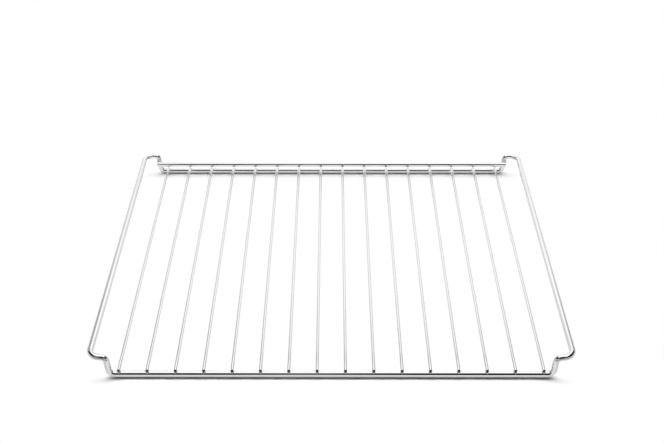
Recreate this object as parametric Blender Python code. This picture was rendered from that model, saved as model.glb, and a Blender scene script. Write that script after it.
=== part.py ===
"""Oven rack for a built-in oven, welded from bright plated steel wire. Metres, +Z up.

The frame is one closed loop of round wire. Its front and rear rails lie low and carry the straight
cross-wires, and its side rails are raised, because they slide on the oven's runners. A stop wire
crosses the two rear drops just above the grid, so that a dish can't slide off the back.
The origin is on the floor below the middle of the rack. +X is right, +Y runs from front to rear.
"""

from math import cos, pi, radians, tan

import bmesh
import bpy
from mathutils import Matrix, Vector

# Frame, over the outside of its wire
FRAME_WIDTH = 0.446
FRAME_DEPTH = 0.364
FRAME_WIRE = 0.006
SIDE_RISE = 0.020  # from the axis of a low rail up to the axis of a side rail

# Bends of the frame, as radii on the inside of the wire
SIDE_BEND = 0.007
TOP_BEND = 0.0025
FOOT_BEND = 0.0025
JOG_STRAIGHT = 0.0003  # between the side bend and the top bend
DROP_LEAN = radians(4)  # the drops spread outwards going up

# Cross-wires
CROSS_WIRE = 0.003
CROSS_COUNT = 16
CROSS_MARGIN = 0.0039  # from the outermost axis to where the rail starts to bend
CROP_RAKE = radians(27)  # their cropped ends lean back over the rail
CROSS_SETBACK = 0.0002  # of the lower tip of a cropped end, from the outside of the rail

# Stop wire
STOP_WIRE = 0.006
STOP_CLEARANCE = 0.0031  # above the cross-wires
STOP_OVERRUN = 0.0018  # past the axes of the drops

WELD_GAP = 0.0003  # between two wires that are welded together
CROP_ROUNDING = 0.0003  # along the rim of a cropped end

# Facets
THICK_SIDES = 16
CROSS_SIDES = 12
BEND_STEPS = 8  # in a quarter turn
CROP_STEPS = 2

# Places that follow from the sizes above
rail_y = (FRAME_DEPTH - FRAME_WIRE) / 2
rail_z = FRAME_WIRE / 2
side_x = (FRAME_WIDTH - FRAME_WIRE) / 2
side_z = rail_z + SIDE_RISE
side_radius = SIDE_BEND + FRAME_WIRE / 2
top_radius = TOP_BEND + FRAME_WIRE / 2
foot_radius = FOOT_BEND + FRAME_WIRE / 2
drop_turn = pi / 2 - DROP_LEAN
top_x = side_x - side_radius - JOG_STRAIGHT - top_radius * tan(drop_turn / 2)
foot_x = top_x - SIDE_RISE * tan(DROP_LEAN)
rail_straight = foot_x - foot_radius * tan(drop_turn / 2)
cross_pitch = 2 * (rail_straight - CROSS_MARGIN) / (CROSS_COUNT - 1)
cross_z = FRAME_WIRE + WELD_GAP + CROSS_WIRE / 2
stop_z = cross_z + CROSS_WIRE / 2 + STOP_CLEARANCE + STOP_WIRE / 2
stop_y = rail_y - FRAME_WIRE / 2 - WELD_GAP - STOP_WIRE / 2


def plating(name, colour, roughness):
    """Bright nickel and chrome plating on steel wire."""
    material = bpy.data.materials.new(name)
    material.use_nodes = True
    shader = material.node_tree.nodes["Principled BSDF"]
    shader.inputs["Base Color"].default_value = (*colour, 1)
    shader.inputs["Metallic"].default_value = 1
    shader.inputs["Roughness"].default_value = roughness
    return material


def rounded(before, corner, after, radius):
    """Points along the arc that rounds one sharp corner of a wire's axis."""
    back = (before - corner).normalized()
    on = (after - corner).normalized()
    turn = pi - back.angle(on)
    centre = corner + (back + on).normalized() * radius / cos(turn / 2)
    first = corner + back * radius * tan(turn / 2) - centre
    last = corner + on * radius * tan(turn / 2) - centre
    steps = max(2, round(BEND_STEPS * turn / (pi / 2)))
    spin = first.cross(last)
    return [
        centre + Matrix.Rotation(turn * i / steps, 3, spin) @ first
        for i in range(steps + 1)
    ]


def frame_corners():
    """Sharp corners of the frame's axis with their radii, anticlockwise from the front rail."""
    corners = []
    for x, y, order in ((1, -1, 1), (1, 1, -1), (-1, 1, 1), (-1, -1, -1)):
        foot = Vector((x * foot_x, y * rail_y, rail_z)), foot_radius
        top = Vector((x * top_x, y * rail_y, side_z)), top_radius
        side = Vector((x * side_x, y * rail_y, side_z)), side_radius
        corners += (foot, top, side)[::order]
    return corners


def make_frame(collection, parent, material):
    """The closed loop of wire, as a polyline with a round section whose flats face up and down."""
    corners = frame_corners()
    points = []
    for i, (corner, radius) in enumerate(corners):
        before = corners[i - 1][0]
        after = corners[(i + 1) % len(corners)][0]
        points += rounded(before, corner, after, radius)
    curve = bpy.data.curves.new("outer_frame", "CURVE")
    curve.dimensions = "3D"
    curve.bevel_depth = FRAME_WIRE / 2 / cos(pi / THICK_SIDES)
    curve.bevel_resolution = THICK_SIDES // 2 - 2
    curve.use_fill_caps = True
    curve.materials.append(material)
    spline = curve.splines.new("POLY")
    spline.use_cyclic_u = True
    spline.points.add(len(points) - 1)
    for point, place in zip(spline.points, points):
        point.co = (*place, 1)
        point.tilt = pi / THICK_SIDES
    frame = bpy.data.objects.new("outer_frame", curve)
    frame.parent = parent
    collection.objects.link(frame)


def wire_mesh(name, length, diameter, sides, rake):
    """A straight wire along Y with cropped ends. A rake leans both ends back over the wire."""
    bm = bmesh.new()
    radius = diameter / 2 / cos(pi / sides)
    bmesh.ops.create_cone(
        bm, cap_ends=True, segments=sides, radius1=radius, radius2=radius, depth=length
    )
    upright = Matrix.Rotation(pi / 2, 3, "X") @ Matrix.Rotation(pi / sides, 3, "Z")
    bmesh.ops.rotate(bm, verts=bm.verts, matrix=upright)
    for vert in bm.verts:
        outward = 1 if vert.co.y > 0 else -1
        vert.co.y -= outward * vert.co.z * tan(rake)
    rims = [edge for edge in bm.edges if edge.calc_face_angle() > radians(45)]
    bmesh.ops.bevel(
        bm,
        geom=rims,
        offset=CROP_ROUNDING,
        segments=CROP_STEPS,
        profile=0.5,
        affect="EDGES",
    )
    mesh = bpy.data.meshes.new(name)
    bm.to_mesh(mesh)
    bm.free()
    mesh.shade_smooth()
    mesh.set_sharp_from_angle(angle=radians(35))
    return mesh


def add_wire(collection, parent, name, mesh, place, turn=0.0):
    """One straight wire at its place, turned about Z if it doesn't run from front to rear."""
    wire = bpy.data.objects.new(name, mesh)
    wire.location = place
    wire.rotation_euler.z = turn
    wire.parent = parent
    collection.objects.link(wire)


def make_cross_wires(collection, parent, material):
    """The grid, spread evenly over the straight of the low rails and welded on top of both."""
    tip_y = FRAME_DEPTH / 2 - CROSS_SETBACK
    length = 2 * (tip_y - CROSS_WIRE / 2 * tan(CROP_RAKE))
    mesh = wire_mesh("cross_wire", length, CROSS_WIRE, CROSS_SIDES, CROP_RAKE)
    mesh.materials.append(material)
    for i in range(CROSS_COUNT):
        x = (i - (CROSS_COUNT - 1) / 2) * cross_pitch
        name = f"cross_wire_{i + 1:02d}"
        add_wire(collection, parent, name, mesh, (x, 0, cross_z))


def make_stop_wire(collection, parent, material):
    """The bar across the inner faces of the two rear drops."""
    drop_x = top_x - (side_z - stop_z) * tan(DROP_LEAN)
    length = 2 * (drop_x + STOP_OVERRUN)
    mesh = wire_mesh("back_stop_wire", length, STOP_WIRE, THICK_SIDES, 0)
    mesh.materials.append(material)
    add_wire(collection, parent, "back_stop_wire", mesh, (0, stop_y, stop_z), pi / 2)


def main():
    for obj in list(bpy.data.objects):
        bpy.data.objects.remove(obj)
    collection = bpy.data.collections.new("oven_rack")
    bpy.context.scene.collection.children.link(collection)
    rack = bpy.data.objects.new("oven_rack", None)
    collection.objects.link(rack)
    make_frame(collection, rack, plating("frame_plating", (0.80, 0.81, 0.82), 0.10))
    make_cross_wires(collection, rack, plating("cross_plating", (0.79, 0.80, 0.81), 0.12))
    make_stop_wire(collection, rack, plating("stop_plating", (0.80, 0.81, 0.82), 0.10))


main()
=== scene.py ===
# %% [markdown]
# # An oven rack in bright chrome
#
# The real rack is eighteen lengths of drawn steel wire, bent, cropped and welded, and then plated with
# nickel and chrome. This lesson dresses its plain measured model for a picture. Each wire is modelled
# again with a smooth round section, the welds are added, and a small studio gives the chrome something
# to reflect. A mirror has no look of its own, so the studio matters as much as the metal.

# %% Load the fixed frame
from math import cos, pi, radians, sin, tan

import bpy
from mathutils import Matrix, Vector


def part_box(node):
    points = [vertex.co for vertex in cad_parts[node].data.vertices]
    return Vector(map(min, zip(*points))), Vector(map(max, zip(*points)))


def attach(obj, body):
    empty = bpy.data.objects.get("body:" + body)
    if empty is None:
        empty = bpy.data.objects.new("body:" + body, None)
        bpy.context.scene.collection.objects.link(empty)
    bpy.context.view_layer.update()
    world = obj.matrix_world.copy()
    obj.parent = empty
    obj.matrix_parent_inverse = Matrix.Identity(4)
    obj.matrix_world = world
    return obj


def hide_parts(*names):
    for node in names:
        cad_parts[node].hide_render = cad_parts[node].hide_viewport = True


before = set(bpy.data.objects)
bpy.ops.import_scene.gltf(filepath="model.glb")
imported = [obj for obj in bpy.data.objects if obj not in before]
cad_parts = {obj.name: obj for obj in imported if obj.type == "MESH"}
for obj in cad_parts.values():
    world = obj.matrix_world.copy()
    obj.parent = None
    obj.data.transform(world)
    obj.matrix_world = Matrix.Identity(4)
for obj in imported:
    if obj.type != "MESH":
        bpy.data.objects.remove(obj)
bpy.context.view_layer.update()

MM = 0.001
print("measured nodes:", len(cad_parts))

# %% [markdown]
# ## Camera
#
# The rack is seen from the front, 34 degrees above the floor, through a lens that is a little longer
# than normal. The focal length is held in pixels of the 664 pixel wide picture, because that is how a
# camera is matched to a photograph, and the lens in millimetres follows from the sensor's width.

# %% Camera
PICTURE_WIDTH = 664
FOCAL_PIXELS = 1065
CAMERA_PITCH = radians(34.015)
CAMERA_ROLL = radians(0.05)
CAMERA_PLACE = (0.0005, -0.9093, 0.6641)

camera_data = bpy.data.cameras.new("photo_camera")
camera_data.sensor_width = 36
camera_data.lens = camera_data.sensor_width * FOCAL_PIXELS / PICTURE_WIDTH
camera = bpy.data.objects.new("photo_camera", camera_data)
camera.location = CAMERA_PLACE
camera.rotation_mode = "ZYX"  # the roll comes first, about the line of sight
camera.rotation_euler = (pi / 2 - CAMERA_PITCH, 0, CAMERA_ROLL)
bpy.context.scene.collection.objects.link(camera)
bpy.context.scene.camera = camera
bpy.context.scene.view_settings.view_transform = "Standard"
print("lens in mm:", round(camera_data.lens, 2))

# %% [markdown]
# ## Sizes of the wires
#
# The measured solids already say how thick the wires are and where they run, so those sizes are read
# from the frame's boxes. Only the bends have to be stated again: each corner of the frame is three arcs
# in three planes, and a box can't tell a radius.

# %% Sizes
frame_low, frame_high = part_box("outer_frame")
stop_low, stop_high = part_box("back_stop_wire")
cross_low, cross_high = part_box("cross_wire_01")

THICK_WIRE = stop_high[1] - stop_low[1]
THIN_WIRE = cross_high[0] - cross_low[0]
SIDE_RADIUS = 10 * MM  # this and the next two are radii of the wire's axis
TOP_RADIUS = 5.5 * MM
FOOT_RADIUS = 5.5 * MM
JOG_LENGTH = 0.3 * MM  # straight between the side bend and the top bend
DROP_LEAN = radians(4)
CROP_RAKE = radians(27)
CROP_SETBACK = 0.2 * MM  # of a grid wire's lower tip, from the outside of the rail

rail_y = frame_high[1] - THICK_WIRE / 2
rail_z = frame_low[2] + THICK_WIRE / 2
side_x = frame_high[0] - THICK_WIRE / 2
side_z = frame_high[2] - THICK_WIRE / 2
drop_turn = pi / 2 - DROP_LEAN
top_x = side_x - SIDE_RADIUS - JOG_LENGTH - TOP_RADIUS * tan(drop_turn / 2)
foot_x = top_x - (side_z - rail_z) * tan(DROP_LEAN)
rail_straight = foot_x - FOOT_RADIUS * tan(drop_turn / 2)
drop_length = (side_z - rail_z) / cos(DROP_LEAN) - (TOP_RADIUS + FOOT_RADIUS) * tan(drop_turn / 2)
print("wires in mm:", round(THICK_WIRE / MM, 2), "and", round(THIN_WIRE / MM, 2))

# %% [markdown]
# ## Drawing a wire in edit mode
#
# A wire could be a curve with a bevel, but in edit mode the work is the same as at the wire bender: a
# ring of points is pulled along to make a straight run, and spun about a centre to make a bend. The ring
# that the last step made stays selected, so each step carries on from there. The tip keeps the place and
# the heading of the wire's end, as a turtle does in a drawing lesson.
#
# The tip also keeps a station for each ring: how far along the wire it is. The stations are used later to
# give the skin a map of the straight wire that it was before it was bent, for marks that run along it.

# %% Helpers for wires
ARC_STEPS = 20  # rings in a quarter turn


def deselect_all():
    """Empties the selection in object mode, because an operator acts on all that is selected."""
    if bpy.context.mode != "OBJECT":
        bpy.ops.object.mode_set(mode="OBJECT")
    bpy.ops.object.select_all(action="DESELECT")


def start_wire(name, diameter, sides, place, heading, side):
    """A ring of points across the wire's axis, left in edit mode with all its points selected."""
    deselect_all()
    turn = Vector((0, 0, 1)).rotation_difference(heading).to_euler()
    bpy.ops.mesh.primitive_circle_add(
        vertices=sides, radius=diameter / 2, location=place, rotation=turn
    )
    wire = bpy.context.active_object
    wire.name = wire.data.name = name
    bpy.ops.object.transform_apply(location=True, rotation=True, scale=True)
    bpy.ops.object.mode_set(mode="EDIT")
    bpy.ops.mesh.select_mode(type="VERT")
    bpy.ops.mesh.select_all(action="SELECT")
    tip = {"wire": wire, "place": Vector(place), "heading": Vector(heading), "side": Vector(side)}
    tip["far"] = 0
    tip["stations"] = [(0, tip["place"].copy(), tip["heading"].copy(), tip["side"].copy())]
    return tip


def mark(tip, far, place, heading, side):
    """Notes a station and moves the tip there."""
    tip["far"], tip["place"], tip["heading"], tip["side"] = far, place, heading, side
    tip["stations"].append((far, place, heading, side))


def run(tip, length, steps=1):
    """A straight run: the ring is extruded along the heading, in steps."""
    step = tip["heading"] * (length / steps)
    for _ in range(steps):
        bpy.ops.mesh.extrude_region_move(TRANSFORM_OT_translate={"value": step})
        mark(tip, tip["far"] + step.length, tip["place"] + step, tip["heading"], tip["side"])


def bend(tip, axis, radius, turn):
    """A bend: the ring is spun about a centre that lies beside the wire, by the right-hand rule."""
    axis = Vector(axis)
    centre = tip["place"] + axis.cross(tip["heading"]) * radius
    steps = round(ARC_STEPS * turn / (pi / 2))
    bpy.ops.mesh.spin(steps=steps, angle=-turn, center=centre, axis=axis)
    spin = Matrix.Rotation(turn / steps, 3, axis)
    for _ in range(steps):
        place = centre + spin @ (tip["place"] - centre)
        mark(tip, tip["far"] + radius * turn / steps, place, spin @ tip["heading"], spin @ tip["side"])


def shade_round(piece):
    """Smooth shading, back in object mode."""
    deselect_all()
    piece.select_set(True)
    bpy.ops.object.shade_smooth()


def select_points(obj, wanted):
    """Goes to edit mode with the points selected whose place passes the test."""
    bpy.ops.object.mode_set(mode="EDIT")
    bpy.ops.mesh.select_mode(type="VERT")
    bpy.ops.mesh.select_all(action="DESELECT")
    bpy.ops.object.mode_set(mode="OBJECT")
    for vertex in obj.data.vertices:
        vertex.select = wanted(vertex.co)
    bpy.ops.object.mode_set(mode="EDIT")


def select_faces(obj, wanted):
    """Goes to edit mode with the faces selected whose centre and normal pass the test."""
    bpy.ops.object.mode_set(mode="EDIT")
    bpy.ops.mesh.select_mode(type="FACE")
    bpy.ops.mesh.select_all(action="DESELECT")
    bpy.ops.object.mode_set(mode="OBJECT")
    for face in obj.data.polygons:
        face.select = wanted(face.center, face.normal)
    bpy.ops.object.mode_set(mode="EDIT")


# %% [markdown]
# ## The frame
#
# One quarter of the loop is drawn, from the middle of the rear rail to the middle of the right side
# rail. It runs along the rail, bends up into the drop, out again at the top, and round in plan into the
# side rail. A Mirror modifier over X and Y makes the whole loop from the quarter, and the doubled rings
# where the quarters meet are merged, so the loop is one closed skin.

# %% Frame
THICK_SIDES = 48
RUN_STEPS = 12
COLLAR_RUNS = (0.5 * MM, 0.5 * MM, 1 * MM, 1 * MM)  # short runs first, for the rings of the butt weld
MERGE_DISTANCE = 0.01 * MM

tip = start_wire(
    "frame_loop", THICK_WIRE, THICK_SIDES, (0, rail_y, rail_z), Vector((1, 0, 0)), Vector((0, 0, 1))
)
for length in COLLAR_RUNS:
    run(tip, length)
run(tip, rail_straight - tip["place"].x, RUN_STEPS)
bend(tip, (0, -1, 0), FOOT_RADIUS, drop_turn)
run(tip, drop_length, 2)
bend(tip, (0, 1, 0), TOP_RADIUS, drop_turn)
run(tip, JOG_LENGTH)
bend(tip, (0, 0, -1), SIDE_RADIUS, pi / 2)
print("side rail starts at", [round(value / MM, 2) for value in tip["place"]])
run(tip, tip["place"].y, RUN_STEPS)
loop = tip["wire"]
loop_stations = tip["stations"]
bpy.ops.object.mode_set(mode="OBJECT")

mirror = loop.modifiers.new("quarters", "MIRROR")
mirror.use_axis = (True, True, False)
mirror.merge_threshold = MERGE_DISTANCE
bpy.ops.object.modifier_apply(modifier=mirror.name)
bpy.ops.object.mode_set(mode="EDIT")
bpy.ops.mesh.select_all(action="SELECT")
bpy.ops.mesh.remove_doubles(threshold=MERGE_DISTANCE)
bpy.ops.mesh.normals_make_consistent(inside=False)
bpy.ops.object.mode_set(mode="OBJECT")
print("frame loop faces:", len(loop.data.polygons))

# %% [markdown]
# ### The butt weld of the loop
#
# The two ends of the bent wire are welded together in the middle of the rear rail. The joint is dressed
# and plated, and what is left is a faint collar. Its rings are selected by their place and swollen a
# little with a resize about the point where the rail touches the floor, so the collar stays above it.

# %% Butt weld
COLLAR = ((-1, 1.008), (-0.5, 1.03), (0, 1.045), (0.5, 1.03), (1, 1.008))  # mm off the joint, swelling
RING_WIDTH = 0.1 * MM  # within which points belong to one ring

for distance, swell in COLLAR:
    select_points(loop, lambda co: abs(co.x - distance * MM) < RING_WIDTH and co.y > 0)
    bpy.ops.transform.resize(
        value=(1, swell, swell), center_override=(distance * MM, rail_y, frame_low[2])
    )
shade_round(loop)
print("collar in mm:", round(THICK_WIRE * max(swell for _, swell in COLLAR) / MM, 2))

# %% [markdown]
# ## Straight wires
#
# A straight wire is drawn a little too long and then cropped, as on the machine: the Bisect tool cuts it
# with a plane and fills the cut. The rim of the cut gets a fine bevel, because plating never leaves a
# sharp edge, and the face inside it is inset and pushed out a little, because a shear leaves a face that
# is slightly crowned.

# %% Straight wires
CROP_ROUNDING = 0.3 * MM
CROWN = 0.04 * MM
OVERLENGTH = 3 * MM
SAME_WAY, SAME_PLANE = 0.99, 0.05 * MM  # how well a face has to fit a cut to belong to it
SHARP_ANGLE = radians(40)


def crop(wire, cuts, diameter):
    """Cuts a wire with planes, given as place and normal, then bevels the rims and crowns the faces."""
    bpy.ops.object.mode_set(mode="EDIT")
    for place, normal in cuts:
        bpy.ops.mesh.select_all(action="SELECT")
        bpy.ops.mesh.bisect(plane_co=place, plane_no=normal, use_fill=True, clear_outer=True)
    bpy.ops.mesh.select_all(action="SELECT")
    bpy.ops.mesh.normals_make_consistent(inside=False)
    for place, normal in cuts:

        def is_cut(centre, facing):
            return facing.dot(normal) > SAME_WAY and abs((centre - place).dot(normal)) < SAME_PLANE

        select_faces(wire, is_cut)
        bpy.ops.mesh.bevel(offset=CROP_ROUNDING, segments=3, profile=0.5, affect="EDGES")
        select_faces(wire, is_cut)
        bpy.ops.mesh.inset(thickness=diameter / 6, depth=CROWN)
    bpy.ops.object.mode_set(mode="OBJECT")


def straight_wire(name, diameter, sides, half_length, heading, middle, rake):
    """A wire that is cropped at both ends. A rake leans the cuts back over the wire."""
    heading, middle = Vector(heading), Vector(middle)
    start = middle - heading * (half_length + OVERLENGTH)
    tip = start_wire(name, diameter, sides, start, heading, Vector((0, 0, 1)))
    run(tip, 2 * (half_length + OVERLENGTH), RUN_STEPS)
    wire = tip["wire"]
    underside = Vector((0, 0, -diameter / 2))
    cuts = [
        (middle + underside + heading * end * half_length,
         heading * end * cos(rake) + Vector((0, 0, sin(rake))))
        for end in (-1, 1)
    ]
    crop(wire, cuts, diameter)
    deselect_all()
    wire.select_set(True)
    bpy.ops.object.shade_smooth_by_angle(angle=SHARP_ANGLE)
    return wire


# %% [markdown]
# ### The grid
#
# Sixteen thin wires run from front to back on top of both low rails. One is drawn and cropped, and the
# others are copies with a mesh of their own, moved to the places of the measured solids.

# %% Grid
THIN_SIDES = 32
CROSS_NAMES = [f"cross_wire_{number + 1:02d}" for number in range(16)]
cross_z = cross_high[2] - THIN_WIRE / 2


def middle_x(name):
    """The place of a measured wire across the rack."""
    low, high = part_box(name)
    return (low[0] + high[0]) / 2


def copy_piece(piece, name, shift):
    """A copy with its own mesh, its place moved inside the mesh."""
    twin = piece.copy()
    twin.data = piece.data.copy()
    twin.name = twin.data.name = name
    twin.data.transform(Matrix.Translation(shift))
    bpy.context.scene.collection.objects.link(twin)
    return twin


cross_x = [middle_x(name) for name in CROSS_NAMES]
first_cross = straight_wire(
    "grid_wire_01", THIN_WIRE, THIN_SIDES, frame_high[1] - CROP_SETBACK,
    (0, 1, 0), (cross_x[0], 0, cross_z), CROP_RAKE,
)
grid = [first_cross] + [
    copy_piece(first_cross, f"grid_wire_{number + 1:02d}", (cross_x[number] - cross_x[0], 0, 0))
    for number in range(1, len(CROSS_NAMES))
]
print("grid wires:", len(grid), "pitch in mm:", round((cross_x[1] - cross_x[0]) / MM, 2))

# %% [markdown]
# ### The stop wire
#
# A thick wire is welded to the front of the two rear drops, just above the grid, so that a dish can't
# slide off the back. Its ends are cut square.

# %% Stop wire
stop_y = (stop_low[1] + stop_high[1]) / 2
stop_z = (stop_low[2] + stop_high[2]) / 2
stop = straight_wire(
    "stop_bar", THICK_WIRE, THICK_SIDES, stop_high[0], (1, 0, 0), (0, stop_y, stop_z), 0
)
print("stop bar in mm:", round(2 * stop_high[0] / MM, 1))

# %% [markdown]
# ## Welds
#
# Each crossing is resistance welded: the wires are squeezed together while a current melts the touching
# point, and a little steel is pressed out between them. It sets as a small saddle that hugs the thin
# wire above and the rail below. One weld is shaped from a UV sphere. It is flattened, its two ends along
# the thin wire are drawn down over the round of the rail, and its waist is pulled in under the wire.

# %% Welds of the grid
WELD_SIZE = (3.1 * MM, 4.8 * MM, 1.6 * MM)  # across the thin wire, along it, and in height
SADDLE = ((0.9, 0.13), (1.3, 0.2), (1.7, 0.27), (2.0, 0.27), (2.2, 0.3))  # mm along the wire, mm down
WAIST = ((1.2, 0.12), (1.6, 0.12))  # mm across the wire, mm up


def ball(name, place, size):
    """A flattened ball of weld steel, to be shaped further in edit mode."""
    deselect_all()
    bpy.ops.mesh.primitive_uv_sphere_add(
        segments=32, ring_count=16, radius=0.5, location=place, scale=size
    )
    weld = bpy.context.active_object
    weld.name = weld.data.name = name
    bpy.ops.object.transform_apply(location=True, rotation=True, scale=True)
    return weld


weld_z = (THICK_WIRE + cross_z - THIN_WIRE / 2) / 2
first_weld = ball("weld_front_01", (cross_x[0], -rail_y, weld_z), WELD_SIZE)
for reach, drop in SADDLE:
    select_points(first_weld, lambda co: abs(co.y + rail_y) > reach * MM)
    bpy.ops.transform.translate(value=(0, 0, -drop * MM))
for reach, rise in WAIST:
    select_points(first_weld, lambda co: abs(co.x - cross_x[0]) > reach * MM and co.z < weld_z)
    bpy.ops.transform.translate(value=(0, 0, rise * MM))
shade_round(first_weld)

welds = [first_weld]
for row, row_y in (("front", -rail_y), ("rear", rail_y)):
    for number, x in enumerate(cross_x):
        if (row, number) != ("front", 0):
            shift = (x - cross_x[0], row_y + rail_y, 0)
            welds.append(copy_piece(first_weld, f"weld_{row}_{number + 1:02d}", shift))
print("grid welds:", len(welds))

# %% [markdown]
# ### Welds of the stop wire
#
# The two joints of the stop wire are larger: thick wire on thick wire. The same idea is used with the
# saddle turned upright, between the front of the drop and the back of the bar. Its sides are drawn back
# round the drop, and its top and bottom forward over the bar, so it shows as a light bead in the corner.

# %% Welds of the stop wire
STOP_WELD_SIZE = (7.6 * MM, 4.2 * MM, 8.0 * MM)  # across the drop, from bar to drop, and in height
WRAP_REACHES = (1.6, 2.2, 2.7, 3.2)  # mm from the joint
WRAP_STEP = 0.25 * MM  # how far each reach is drawn round its wire

drop_x = top_x - (side_z - stop_z) * tan(DROP_LEAN)
joint_y = (stop_y + rail_y) / 2
stop_weld = ball("weld_stop_right", (drop_x, joint_y, stop_z), STOP_WELD_SIZE)
for reach in WRAP_REACHES:
    select_points(stop_weld, lambda co: abs(co.x - drop_x) > reach * MM)
    bpy.ops.transform.translate(value=(0, WRAP_STEP, 0))
    select_points(stop_weld, lambda co: abs(co.z - stop_z) > reach * MM)
    bpy.ops.transform.translate(value=(0, -WRAP_STEP, 0))
shade_round(stop_weld)
welds += [stop_weld, copy_piece(stop_weld, "weld_stop_left", (-2 * drop_x, 0, 0))]
print("all welds:", len(welds))

# %% [markdown]
# ## A map of the straight wire
#
# Drawing pulls steel through a die, and the die leaves fine lines along the wire. They follow every
# bend, so a pattern on Object coordinates would cut across them at the corners. Each point of a skin is
# given an attribute instead: where it was on the straight wire before bending, as a distance along it
# and a place across it. The loop is folded back onto the quarter that was drawn, and each point takes
# the nearest station.

# %% Map of the straight wire
WIRE_SHIFT = 7 * MM  # between the maps of two neighbours, so that no two wires look alike


def give_map(piece, places):
    """Stores a vector for each point of the skin."""
    layer = piece.data.attributes.new("drawn_place", "FLOAT_VECTOR", "POINT")
    layer.data.foreach_set("vector", [value for place in places for value in place])


def place_on_bent_wire(co):
    """The straight wire's place of one point of the loop."""
    folded = Vector((abs(co.x), abs(co.y), co.z))
    far, place, heading, side = min(
        loop_stations, key=lambda entry: (entry[1] - folded).length_squared
    )
    across = folded - place
    return far + across.dot(heading), across.dot(side), across.dot(heading.cross(side))


give_map(loop, [place_on_bent_wire(vertex.co) for vertex in loop.data.vertices])
for number, wire in enumerate(grid):
    x, shift = cross_x[number], WIRE_SHIFT * number
    give_map(wire, [(v.co.y + shift, v.co.x - x, v.co.z - cross_z) for v in wire.data.vertices])
give_map(stop, [(v.co.x, v.co.y - stop_y, v.co.z - stop_z) for v in stop.data.vertices])
print("stations on the quarter:", len(loop_stations))

# %% [markdown]
# ## Materials
#
# Colours are written as sRGB hex values, as a paint chart gives them, and one function turns them into
# the linear values that a shader works with. One more function adds a node with its settings and links.

# %% Helpers for materials
def linear(code):
    """A hex colour as linear red, green, blue and alpha."""
    parts = [int(code[i : i + 2], 16) / 255 for i in (1, 3, 5)]
    return (*[p / 12.92 if p <= 0.04045 else ((p + 0.055) / 1.055) ** 2.4 for p in parts], 1)


def add(tree, kind, settings=(), **sockets):
    """Adds a node. Settings are the node's own, and a socket takes a value or another socket."""
    node = tree.nodes.new(kind)
    for name, value in dict(settings).items():
        setattr(node, name, value)
    for name, value in sockets.items():
        key = int(name[1:]) if name[0] == "i" and name[1:].isdigit() else name.replace("_", " ")
        if isinstance(value, bpy.types.NodeSocket):
            tree.links.new(value, node.inputs[key])
        else:
            node.inputs[key].default_value = value
    return node


def new_material(name):
    """A material with an empty tree."""
    material = bpy.data.materials.new(name)
    material.use_nodes = True
    material.node_tree.nodes.clear()
    return material, material.node_tree


# %% [markdown]
# ### Bright chrome on drawn wire
#
# Decorative chrome is a very thin layer over bright nickel. It reflects nearly as well as a mirror, and
# it follows whatever the steel below it does. So the finish is a metal with a low roughness, and
# everything else is in the steel: fine die lines along the wire, and a slow waviness from straightening
# that makes the long reflections tremble.

# %% Chrome on wire
LINE_RUN, LINE_DEPTH = 60 * MM, 0.006 * MM  # how far a die line runs before it changes, and its depth
LINE_LOW, LINE_HIGH = 0.35, 0.75  # part of the noise that the roughness follows
LINE_DULLEST = 2.2  # roughness of the dullest die line, as a multiple of the smoothest
WAVE_LENGTH, WAVE_DEPTH = 14 * MM, 0.05 * MM
CLOUD_SIZE = 9 * MM  # of the faint clouds in the colour


def chrome_wire(name, light, dark, roughness, line_width):
    """Bright nickel-chrome plate on drawn wire. It gives sharp reflections with lengthwise streaks."""
    material, tree = new_material(name)
    place = add(tree, "ShaderNodeAttribute", {"attribute_name": "drawn_place"}).outputs["Vector"]
    lines_at = add(
        tree, "ShaderNodeMapping", Vector=place, Scale=(1 / LINE_RUN, 1 / line_width, 1 / line_width)
    ).outputs[0]
    lines = add(
        tree, "ShaderNodeTexNoise", Vector=lines_at, Scale=1.0, Detail=3.0, Roughness=0.6
    ).outputs["Fac"]
    wave = add(
        tree, "ShaderNodeTexNoise", Vector=place, Scale=1 / WAVE_LENGTH, Detail=1.0, Roughness=0.4
    ).outputs["Fac"]
    cloud = add(
        tree, "ShaderNodeTexNoise", Vector=place, Scale=1 / CLOUD_SIZE, Detail=4.0, Roughness=0.6
    ).outputs["Fac"]
    colour = add(
        tree, "ShaderNodeMix", {"data_type": "RGBA"}, i0=cloud, i6=linear(dark), i7=linear(light)
    ).outputs[2]
    rough = add(
        tree, "ShaderNodeMapRange", Value=lines, From_Min=LINE_LOW, From_Max=LINE_HIGH,
        To_Min=roughness, To_Max=roughness * LINE_DULLEST,
    ).outputs[0]
    wavy = add(
        tree, "ShaderNodeBump", Height=wave, Strength=1.0, Distance=WAVE_DEPTH
    ).outputs[0]
    lined = add(
        tree, "ShaderNodeBump", Height=lines, Normal=wavy, Strength=1.0, Distance=LINE_DEPTH
    ).outputs[0]
    shader = add(
        tree, "ShaderNodeBsdfPrincipled",
        Base_Color=colour, Metallic=1.0, Roughness=rough, Normal=lined,
    )
    add(tree, "ShaderNodeOutputMaterial", Surface=shader.outputs[0])
    return material


frame_chrome = chrome_wire("chrome_plated_frame_wire", "#DFDFDF", "#D8D8D8", 0.045, 0.8 * MM)
grid_chrome = chrome_wire("chrome_plated_grid_wire", "#DEDEDE", "#D5D5D5", 0.06, 0.5 * MM)
print("materials:", frame_chrome.name, "and", grid_chrome.name)

# %% [markdown]
# ### Welds and cropped ends
#
# A weld is plated too, but the steel below it is cast and not drawn. It is dimpled and much duller than
# the wire, and the plate is thinner in its hollows, where a warm grey shows. So a weld looks like a pale
# bead without sharp reflections. A cropped end is torn steel under the plate, with fine grooves across
# it. It is nearly as bright as the wire but greyer, so it mirrors the dark room as a dark spot.

# %% Chrome on welds and ends
GRAIN_LOW, GRAIN_HIGH = 0.3, 0.7  # part of the noise that the roughness follows
HOLLOW_DULLER = 1.5  # roughness in the hollows, as a multiple of that on the crests


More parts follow.
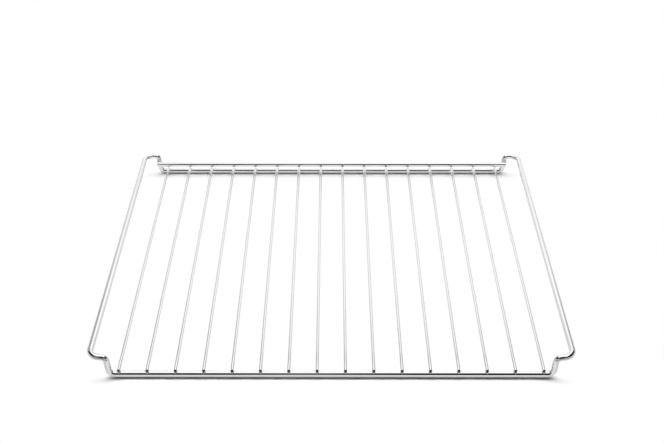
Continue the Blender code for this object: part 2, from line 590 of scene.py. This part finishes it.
def chrome_rough(name, light, dark, roughness, grain, depth, stretch):
    """Bright plate over rough steel. It gives broken, softer reflections."""
    material, tree = new_material(name)
    place = add(tree, "ShaderNodeTexCoord").outputs["Object"]
    grains_at = add(tree, "ShaderNodeMapping", Vector=place, Scale=stretch).outputs[0]
    grains = add(
        tree, "ShaderNodeTexNoise", Vector=grains_at, Scale=1 / grain, Detail=3.0
    ).outputs["Fac"]
    colour = add(
        tree, "ShaderNodeMix", {"data_type": "RGBA"}, i0=grains, i6=linear(dark), i7=linear(light)
    ).outputs[2]
    rough = add(
        tree, "ShaderNodeMapRange", Value=grains, From_Min=GRAIN_LOW, From_Max=GRAIN_HIGH,
        To_Min=roughness * HOLLOW_DULLER, To_Max=roughness,
    ).outputs[0]
    bumped = add(
        tree, "ShaderNodeBump", Height=grains, Strength=1.0, Distance=depth
    ).outputs[0]
    shader = add(
        tree, "ShaderNodeBsdfPrincipled",
        Base_Color=colour, Metallic=1.0, Roughness=rough, Normal=bumped,
    )
    add(tree, "ShaderNodeOutputMaterial", Surface=shader.outputs[0])
    return material


weld_chrome = chrome_rough(
    "chrome_plated_weld", "#E4E4E4", "#D0CECB", 0.38, 1.2 * MM, 0.05 * MM, (1, 1, 1)
)
end_chrome = chrome_rough(
    "chrome_plated_cropped_end", "#CFCFCF", "#A9A9A8", 0.08, 0.5 * MM, 0.008 * MM, (3, 1, 0.4)
)
print("materials:", weld_chrome.name, "and", end_chrome.name)

# %% [markdown]
# ### Dressing the pieces
#
# The cropped faces of the straight wires look out along the wire, so they are found by their normals.

# %% Dress the pieces
CUT_FACING = 0.85  # how much of a cropped face's normal lies along the wire, at the least


def dress_wire(wire, skin, heading):
    """Plate on the skin and rougher plate on the two cropped faces."""
    wire.data.materials.append(skin)
    wire.data.materials.append(end_chrome)
    for face in wire.data.polygons:
        face.material_index = int(abs(face.normal.dot(Vector(heading))) > CUT_FACING)


loop.data.materials.append(frame_chrome)
dress_wire(stop, frame_chrome, (1, 0, 0))
for wire in grid:
    dress_wire(wire, grid_chrome, (0, 1, 0))
for weld in welds:
    weld.data.materials.append(weld_chrome)
print("dressed pieces:", len([loop, stop, *grid, *welds]))

# %% [markdown]
# ## Floor
#
# The floor is white paper with three faces: one for the camera, one for the mirroring chrome and one for
# the light. The first two are laid out with the same few distances from the rack, and both fade into a
# plain white that needs no lamp.

# %% Floor
FLOOR_SIZE = 8
FADE_START, FADE_END = 0.31, 0.40  # from the middle of the rack

deselect_all()
bpy.ops.mesh.primitive_plane_add(size=FLOOR_SIZE)
floor = bpy.context.active_object
floor.name = "floor"

floor_paper, tree = new_material("white_paper_floor")
place = add(tree, "ShaderNodeTexCoord").outputs["Object"]
spot = add(tree, "ShaderNodeSeparateXYZ", Vector=place)
depth = spot.outputs["Y"]
off_middle = add(tree, "ShaderNodeMath", {"operation": "ABSOLUTE"}, i0=depth).outputs[0]
off_centre = add(tree, "ShaderNodeMath", {"operation": "ABSOLUTE"}, i0=spot.outputs["X"]).outputs[0]
away = add(tree, "ShaderNodeVectorMath", {"operation": "LENGTH"}, i0=place).outputs["Value"]
fade = add(
    tree, "ShaderNodeMapRange", {"interpolation_type": "SMOOTHSTEP"},
    Value=away, From_Min=FADE_START, From_Max=FADE_END,
).outputs[0]
glow = add(tree, "ShaderNodeEmission", Color=(1, 1, 1, 1), Strength=1.0).outputs[0]
print("floor in metres:", FLOOR_SIZE, "plain white past:", FADE_END)

# %% [markdown]
# ### The floor for the camera
#
# The picture shows the paper as pure white, with only the dark lines of contact shadow along the low
# rails. So the camera sees shaded paper in a band along each of them. That paper is graded from front to
# rear, because the lamp stands nearer to the rear rail, and both rails have to lie on the same white.
# Between the rails the camera sees plain white, so that the thin wires keep their full width against it,
# and past the corners it sees more plain white than paper.

# %% Floor for the camera
SEEN_FRONT, SEEN_REAR = 1.52, 0.89  # how light the paper is
SEEN_REACH = 0.2  # from the middle to where the paper is as light as that
BAND_EDGE, BAND_FULL = 13 * MM, 5 * MM  # how far inside a rail's axis the band starts and is full
CORNER_EDGE, CORNER_FULL = 197 * MM, 212 * MM  # off the centre, where the white of the corners comes in
CORNER_WHITE = 0.6  # share of plain white there

graded = add(
    tree, "ShaderNodeMapRange", Value=depth, From_Min=-SEEN_REACH, From_Max=SEEN_REACH,
    To_Min=SEEN_FRONT, To_Max=SEEN_REAR,
).outputs[0]
seen_paper = add(tree, "ShaderNodeBsdfDiffuse", Color=graded).outputs[0]
under_grid = add(
    tree, "ShaderNodeMapRange", Value=off_middle,
    From_Min=rail_y - BAND_EDGE, From_Max=rail_y - BAND_FULL, To_Min=1.0, To_Max=0.0,
).outputs[0]
past_corner = add(
    tree, "ShaderNodeMapRange", Value=off_centre,
    From_Min=CORNER_EDGE, From_Max=CORNER_FULL, To_Max=CORNER_WHITE,
).outputs[0]
plain = add(
    tree, "ShaderNodeMath", {"operation": "MAXIMUM"}, i0=under_grid, i1=past_corner
).outputs[0]
plain = add(tree, "ShaderNodeMath", {"operation": "MAXIMUM"}, i0=plain, i1=fade).outputs[0]
seen = add(tree, "ShaderNodeMixShader", i0=plain, i1=seen_paper, i2=glow).outputs[0]
print("seen paper from front to rear:", SEEN_FRONT, "to", SEEN_REAR)

# %% [markdown]
# ### The floor in the chrome
#
# The chrome mirrors a mix of shaded paper and plain white, with less of the white near the rear rail.
# Just ahead of the front rail a painted highlight lies on the paper, a lighter band that only the chrome
# sees, which keeps the bodies of the front drops bright. From there a painted dark band, a dim glow that
# only the chrome sees, closes the dark lines of the front as a painted reflection. Outside the corners
# the dark band comes closer and paints the darker outer line of each front drop.

# %% Floor in the chrome
WHITE_SHARE, WHITE_SHARE_REAR = 0.72, 0.3
REAR_EDGE, REAR_FULL = 30 * MM, 15 * MM  # how far inside the rear rail's axis its share starts and holds
# The lighter band ahead and the dim band are painted on the floor's mirrored face: a painted highlight
# and a painted dark reflection in the chrome.
AHEAD_EDGE, AHEAD_FULL = -190 * MM, -197 * MM  # where the lighter paper starts and is full
AHEAD_LIGHT = 1.5
DIM_EDGE, DIM_FULL = -200 * MM, -270 * MM  # where the dim part starts and is full
DIM_LEVEL = 0.3
OUTSIDE_EDGE, OUTSIDE_FULL = 200 * MM, 212 * MM  # the same off the centre, for its shift
OUTSIDE_SHIFT = 25 * MM  # how much closer the dim part comes there

# Painted highlight: paper made lighter ahead of the front rail, seen only by the chrome.
ahead_light = add(
    tree, "ShaderNodeMapRange", Value=depth,
    From_Min=AHEAD_EDGE, From_Max=AHEAD_FULL, To_Min=1.0, To_Max=AHEAD_LIGHT,
).outputs[0]
mirrored_paper = add(tree, "ShaderNodeBsdfDiffuse", Color=ahead_light).outputs[0]
white_share = add(
    tree, "ShaderNodeMapRange", Value=depth,
    From_Min=rail_y - REAR_EDGE, From_Max=rail_y - REAR_FULL,
    To_Min=WHITE_SHARE, To_Max=WHITE_SHARE_REAR,
).outputs[0]
near = add(tree, "ShaderNodeMixShader", i0=white_share, i1=mirrored_paper, i2=glow).outputs[0]
mirrored = add(tree, "ShaderNodeMixShader", i0=fade, i1=near, i2=glow).outputs[0]
closer = add(
    tree, "ShaderNodeMapRange", Value=off_centre,
    From_Min=OUTSIDE_EDGE, From_Max=OUTSIDE_FULL, To_Max=OUTSIDE_SHIFT,
).outputs[0]
ahead = add(tree, "ShaderNodeMath", {"operation": "SUBTRACT"}, i0=depth, i1=closer).outputs[0]
# Painted dark reflection: a dim glow on the floor ahead of the rack, seen only by the chrome.
dimmed = add(
    tree, "ShaderNodeMapRange", Value=ahead, From_Min=DIM_EDGE, From_Max=DIM_FULL
).outputs[0]
dim = add(tree, "ShaderNodeEmission", Color=(1, 1, 1, 1), Strength=DIM_LEVEL).outputs[0]
mirrored = add(tree, "ShaderNodeMixShader", i0=dimmed, i1=mirrored, i2=dim).outputs[0]
print("white share in the mirrored floor:", WHITE_SHARE, "and at the rear", WHITE_SHARE_REAR)

# %% [markdown]
# ### One floor for three looks
#
# The Light Path node tells which kind of ray arrives. The camera's rays meet the first face. A ray that
# the chrome mirrors meets the second one, as long as no matt surface lies before it on its way. All
# other rays carry the light, and they meet paper as white as real paper is.

# %% Floor put together
REAL_PAPER = 0.8

path = add(tree, "ShaderNodeLightPath")
bounce = add(tree, "ShaderNodeBsdfDiffuse", Color=(REAL_PAPER, REAL_PAPER, REAL_PAPER, 1)).outputs[0]
no_matt_before = add(
    tree, "ShaderNodeMath", {"operation": "LESS_THAN"}, i0=path.outputs["Diffuse Depth"], i1=0.5
).outputs[0]
in_chrome = add(
    tree, "ShaderNodeMath", {"operation": "MULTIPLY"},
    i0=path.outputs["Is Glossy Ray"], i1=no_matt_before,
).outputs[0]
unseen = add(tree, "ShaderNodeMixShader", i0=in_chrome, i1=bounce, i2=mirrored).outputs[0]
surface = add(
    tree, "ShaderNodeMixShader", i0=path.outputs["Is Camera Ray"], i1=unseen, i2=seen
).outputs[0]
add(tree, "ShaderNodeOutputMaterial", Surface=surface)
floor.data.materials.append(floor_paper)
print("floor nodes:", len(tree.nodes))

# %% [markdown]
# ## Studio
#
# One wide soft lamp hangs low over the rear half of the rack. It gives the level of the light. Seen from
# the front rail, all its light comes from behind, so a dark line of shadow lies in front of that rail.
# The rear rail is nearly below the lamp, so its shadow and that of the stop wire fall close to it. The
# lamp is so wide from left to right that the wires that run away from the camera throw almost no shadow.

# %% Lamp
LAMP_HEIGHT = 0.7
LAMP_FRONT, LAMP_REAR, LAMP_HALF_WIDTH = -0.04, 0.60, 1.1
LAMP_RADIANCE = 3.6

lamp_data = bpy.data.lights.new("soft_lamp", "AREA")
lamp_data.shape = "RECTANGLE"
lamp_data.size = 2 * LAMP_HALF_WIDTH
lamp_data.size_y = LAMP_REAR - LAMP_FRONT
lamp_data.energy = LAMP_RADIANCE * pi * lamp_data.size * lamp_data.size_y
lamp = bpy.data.objects.new("soft_lamp", lamp_data)
lamp.location = (0, (LAMP_FRONT + LAMP_REAR) / 2, LAMP_HEIGHT)
lamp.visible_camera = lamp.visible_glossy = False
bpy.context.scene.collection.objects.link(lamp)
print("lamp in watts:", round(lamp_data.energy, 1))

# %% [markdown]
# What the chrome mirrors is drawn with two white cards that only mirrors see, as a photographer places
# cards around silver. One hangs over the rack, from just above the camera to the rear. The other stands
# behind the rack. It grows brighter from its foot to its top, and the bright part of it narrows upwards
# and leans a little to the right, with grey beside it. So a round wire that runs away from the camera
# mirrors a bright middle and greyer flanks. The front of the room is dark, and each low rail shows it as
# a thin line between the white above and the floor below.

# %% Cards for the mirror
STUDIO_HEIGHT = 1.02
CARD_HALF_WIDTH, CARD_FRONT, CARD_REAR = 0.85, -0.66, 0.92
CARD_GLOW = 1.4
WALL_HALF_WIDTH = 2.0
WALL_BRIGHT, WALL_FADED = 0.80, 1.45  # half-widths at the floor where the fading starts and ends
WALL_SLANT = 0.8  # how much narrower the bright part is for each metre up
WALL_LEAN = 0.12  # how far its middle moves to the right for each metre up
WALL_LOW, WALL_HIGH = 0.87, 1.6  # glow of the bright part at its foot and at its top
WALL_SIDE = 0.38  # share of that glow beside the bright part


def card(name, place, turn, size):
    """A white card that neither the camera nor the floor sees, and the tree of its material."""
    deselect_all()
    bpy.ops.mesh.primitive_plane_add(size=1, location=place, rotation=turn)
    board = bpy.context.active_object
    board.name = name
    board.scale = (*size, 1)
    bpy.ops.object.transform_apply(location=True, rotation=True, scale=True)
    board.visible_camera = board.visible_diffuse = board.visible_shadow = False
    paint, tree = new_material(name)
    board.data.materials.append(paint)
    return tree


tree = card(
    "card_overhead",
    (0, (CARD_FRONT + CARD_REAR) / 2, STUDIO_HEIGHT),
    (0, 0, 0),
    (2 * CARD_HALF_WIDTH, CARD_REAR - CARD_FRONT),
)
shine = add(tree, "ShaderNodeEmission", Color=(1, 1, 1, 1), Strength=CARD_GLOW).outputs[0]
add(tree, "ShaderNodeOutputMaterial", Surface=shine)

tree = card(
    "card_behind",
    (0, CARD_REAR, STUDIO_HEIGHT / 2),
    (pi / 2, 0, 0),
    (2 * WALL_HALF_WIDTH, STUDIO_HEIGHT),
)
place = add(tree, "ShaderNodeTexCoord").outputs["Object"]
spot = add(tree, "ShaderNodeSeparateXYZ", Vector=place)
leaned = add(
    tree, "ShaderNodeMath", {"operation": "MULTIPLY_ADD"},
    i0=spot.outputs["Z"], i1=-WALL_LEAN, i2=spot.outputs["X"],
).outputs[0]
aside = add(tree, "ShaderNodeMath", {"operation": "ABSOLUTE"}, i0=leaned).outputs[0]
slanted = add(
    tree, "ShaderNodeMath", {"operation": "MULTIPLY_ADD"},
    i0=spot.outputs["Z"], i1=WALL_SLANT, i2=aside,
).outputs[0]
side = add(
    tree, "ShaderNodeMapRange", Value=slanted,
    From_Min=WALL_BRIGHT, From_Max=WALL_FADED, To_Min=1.0, To_Max=WALL_SIDE,
).outputs[0]
height = add(
    tree, "ShaderNodeMapRange", Value=spot.outputs["Z"],
    From_Min=0.0, From_Max=STUDIO_HEIGHT, To_Min=WALL_LOW, To_Max=WALL_HIGH,
).outputs[0]
level = add(tree, "ShaderNodeMath", {"operation": "MULTIPLY"}, i0=side, i1=height).outputs[0]
shine = add(tree, "ShaderNodeEmission", Color=(1, 1, 1, 1), Strength=level).outputs[0]
add(tree, "ShaderNodeOutputMaterial", Surface=shine)
print("cards in metres:", 2 * CARD_HALF_WIDTH, "and", 2 * WALL_HALF_WIDTH, "wide")

# %% [markdown]
# The world is white where the camera looks at it. For the mirrors it is the dark room, a little lighter
# on the left than on the right. A lighter upright patch stands a little left of the middle, and the dark
# line of the front rail is palest there. A pale strip lies low down on both sides, and keeps the corners
# and the wires seen from behind from going black. For the floor the world is a weak fill. Places in the
# room are given as parts of a unit vector: 0 is straight ahead or level, and 1 is fully sideways or up.

# %% Room
ROOM_LEFT, ROOM_RIGHT = 0.045, 0.012
LEFT_END, RIGHT_END = -0.15, 0.2  # sideways, where the room is as light as that
PATCH_GLOW, PATCH_AT, PATCH_REACH = 0.14, -0.025, 0.08
STRIP_GLOW = 0.7
STRIP_EDGE, STRIP_FULL = 0.2, 0.3  # sideways
STRIP_TOP, STRIP_GONE = 0.22, 0.30  # upwards
FILL = 0.02

world = bpy.data.worlds.new("studio_room")
bpy.context.scene.world = world
world.use_nodes = True
tree = world.node_tree
tree.nodes.clear()
path = add(tree, "ShaderNodeLightPath")
direction = add(tree, "ShaderNodeTexCoord").outputs["Generated"]
looking = add(tree, "ShaderNodeSeparateXYZ", Vector=direction)
sideways, upwards = looking.outputs["X"], looking.outputs["Z"]
room = add(
    tree, "ShaderNodeMapRange", Value=sideways,
    From_Min=LEFT_END, From_Max=RIGHT_END, To_Min=ROOM_LEFT, To_Max=ROOM_RIGHT,
).outputs[0]
from_patch = add(
    tree, "ShaderNodeMath", {"operation": "SUBTRACT"}, i0=sideways, i1=PATCH_AT
).outputs[0]
from_patch = add(tree, "ShaderNodeMath", {"operation": "ABSOLUTE"}, i0=from_patch).outputs[0]
patch = add(
    tree, "ShaderNodeMapRange", Value=from_patch,
    From_Min=0.0, From_Max=PATCH_REACH, To_Min=PATCH_GLOW, To_Max=0.0,
).outputs[0]
room = add(tree, "ShaderNodeMath", {"operation": "ADD"}, i0=room, i1=patch).outputs[0]
off_ahead = add(tree, "ShaderNodeMath", {"operation": "ABSOLUTE"}, i0=sideways).outputs[0]
aside = add(
    tree, "ShaderNodeMapRange", Value=off_ahead, From_Min=STRIP_EDGE, From_Max=STRIP_FULL
).outputs[0]
low = add(
    tree, "ShaderNodeMapRange", Value=upwards,
    From_Min=STRIP_TOP, From_Max=STRIP_GONE, To_Min=1.0, To_Max=0.0,
).outputs[0]
strip = add(tree, "ShaderNodeMath", {"operation": "MULTIPLY"}, i0=aside, i1=low).outputs[0]
room = add(
    tree, "ShaderNodeMix", {"data_type": "FLOAT"}, i0=strip, i2=room, i3=STRIP_GLOW
).outputs[0]
lit = add(
    tree, "ShaderNodeMix", {"data_type": "FLOAT"}, i0=path.outputs["Is Glossy Ray"], i2=FILL, i3=room
).outputs[0]
strength = add(
    tree, "ShaderNodeMix", {"data_type": "FLOAT"}, i0=path.outputs["Is Camera Ray"], i2=lit, i3=1.0
).outputs[0]
back = add(tree, "ShaderNodeBackground", Color=(1, 1, 1, 1), Strength=strength).outputs[0]
add(tree, "ShaderNodeOutputWorld", Surface=back)
print("room nodes:", len(tree.nodes))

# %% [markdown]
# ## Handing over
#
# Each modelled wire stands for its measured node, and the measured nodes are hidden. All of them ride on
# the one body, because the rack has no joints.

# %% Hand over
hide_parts("outer_frame")
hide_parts("back_stop_wire")
for wire, node in zip(grid, CROSS_NAMES):
    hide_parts(node)
for piece in [loop, stop, *grid, *welds]:
    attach(piece, "root")

bpy.context.view_layer.update()
